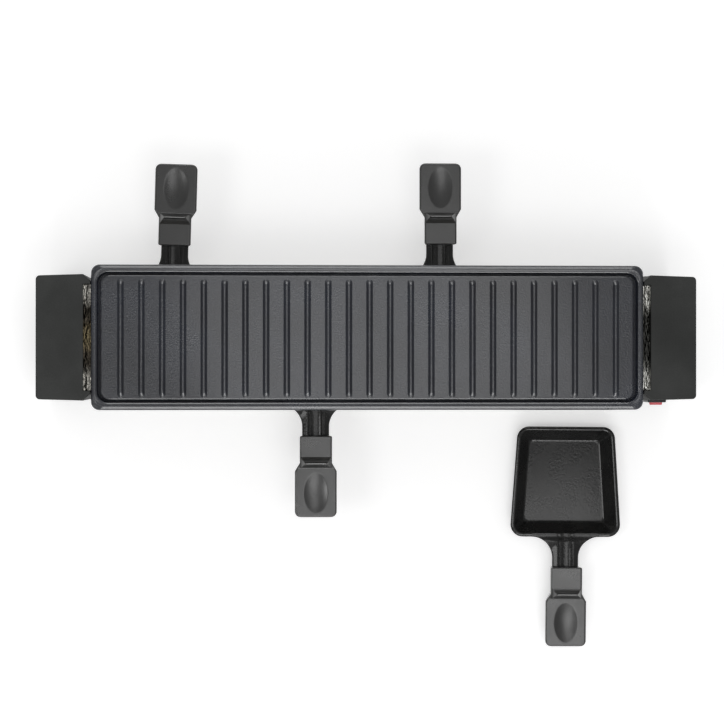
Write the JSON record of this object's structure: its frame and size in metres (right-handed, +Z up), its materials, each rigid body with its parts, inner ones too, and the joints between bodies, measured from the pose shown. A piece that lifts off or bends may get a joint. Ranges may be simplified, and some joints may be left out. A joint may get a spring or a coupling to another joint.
{
  "type": "raclette grill",
  "caption": "Long table-top raclette grill: ribbed grill plate between black end housings, square pans pushed in beneath it from both sides, a rocker switch and a loose pan.",
  "frame": {"origin": "on the table under the middle of the whole set's bounding box, the free pan and the grips of the rear pans included; the grill's own middle is 52.35 mm behind it", "axes": "+X along the grill towards the end with the switch, +Y to the back, +Z up"},
  "size_m": [0.48, 0.3678, 0.108],
  "materials": {
    "plate_coating": "satin grey-black non-stick coating on cast aluminium",
    "pan_coating": "satin black non-stick coating on pressed steel",
    "housing_plastic": "fine-textured black heat-resistant plastic",
    "cover_plastic": "plain black plastic",
    "grip_plastic": "fine-textured dark grey thermoset plastic",
    "heat_tinted_stainless": "polished stainless sheet with a straw heat tint",
    "stainless": "brushed stainless sheet",
    "element_steel": "dull dark heat-oxidised tube",
    "ceramic": "white ceramic",
    "terminal_brass": "bare brass",
    "screw_steel": "zinc-plated steel",
    "switch_plastic": "semi-gloss black plastic",
    "rocker_red": "glossy red plastic",
    "foot_rubber": "black rubber",
    "live_insulation": "brown silicone insulation",
    "neutral_insulation": "blue silicone insulation",
    "earth_insulation": "green and yellow insulation"
  },
  "bodies": {
    "grill_body": {"pan_deck": "stainless", "heating_element": "element_steel", "element_bushings": "ceramic", "element_terminals": "terminal_brass", "left_element_bracket": "stainless", "middle_element_bracket": "stainless", "right_element_bracket": "stainless", "rear_rail": "stainless", "front_rail": "stainless", "right_housing": "housing_plastic", "left_housing": "housing_plastic", "right_heat_shield": "heat_tinted_stainless", "left_heat_shield": "heat_tinted_stainless", "right_base_cover": "cover_plastic", "left_base_cover": "cover_plastic", "rubber_feet": "foot_rubber", "thermal_cutout": "ceramic", "cutout_terminals": "terminal_brass", "switch_body": "switch_plastic", "switch_pivot_pin": "screw_steel", "switch_terminals": "terminal_brass", "inlet_body": "switch_plastic", "inlet_blades": "terminal_brass", "live_lead": "live_insulation", "switched_lead": "live_insulation", "element_lead": "live_insulation", "neutral_lead": "neutral_insulation", "earth_lead": "earth_insulation", "cover_screws": "screw_steel", "shield_screws": "screw_steel", "deck_screws": "screw_steel", "rail_screws": "screw_steel", "cutout_screws": "screw_steel", "earth_screw": "screw_steel"},
    "plate": {"grill_plate": "plate_coating"},
    "rocker": {"switch_rocker": "rocker_red"},
    "rear_left_pan": {"rear_left_pan_dish": "pan_coating", "rear_left_pan_grip": "grip_plastic", "rear_left_pan_screw": "screw_steel"},
    "rear_right_pan": {"rear_right_pan_dish": "pan_coating", "rear_right_pan_grip": "grip_plastic", "rear_right_pan_screw": "screw_steel"},
    "front_pan": {"front_pan_dish": "pan_coating", "front_pan_grip": "grip_plastic", "front_pan_screw": "screw_steel"},
    "free_pan": {"free_pan_dish": "pan_coating", "free_pan_grip": "grip_plastic", "free_pan_screw": "screw_steel"}
  },
  "joints": [
    {"name": "power_rocker", "type": "hinge", "parent": "grill_body", "child": "rocker", "pos_m": [0.2148, 0.00935, 0.07], "axis": [-1, 0, 0], "range_deg": [0, 20]},
    {"name": "plate_lift", "type": "slide", "parent": "grill_body", "child": "plate", "axis": [0, 0, 1], "range_m": [0, 0.06]},
    {"name": "rear_left_pan_slide", "type": "slide", "parent": "grill_body", "child": "rear_left_pan", "axis": [0, 1, 0], "range_m": [0, 0.12]},
    {"name": "rear_right_pan_slide", "type": "slide", "parent": "grill_body", "child": "rear_right_pan", "axis": [0, 1, 0], "range_m": [0, 0.12]},
    {"name": "front_pan_slide", "type": "slide", "parent": "grill_body", "child": "front_pan", "axis": [0, -1, 0], "range_m": [0, 0.12]},
    {"name": "free_pan_lift", "type": "slide", "parent": "grill_body", "child": "free_pan", "axis": [0, 0, 1], "range_m": [0, 0.12]}
  ]
}
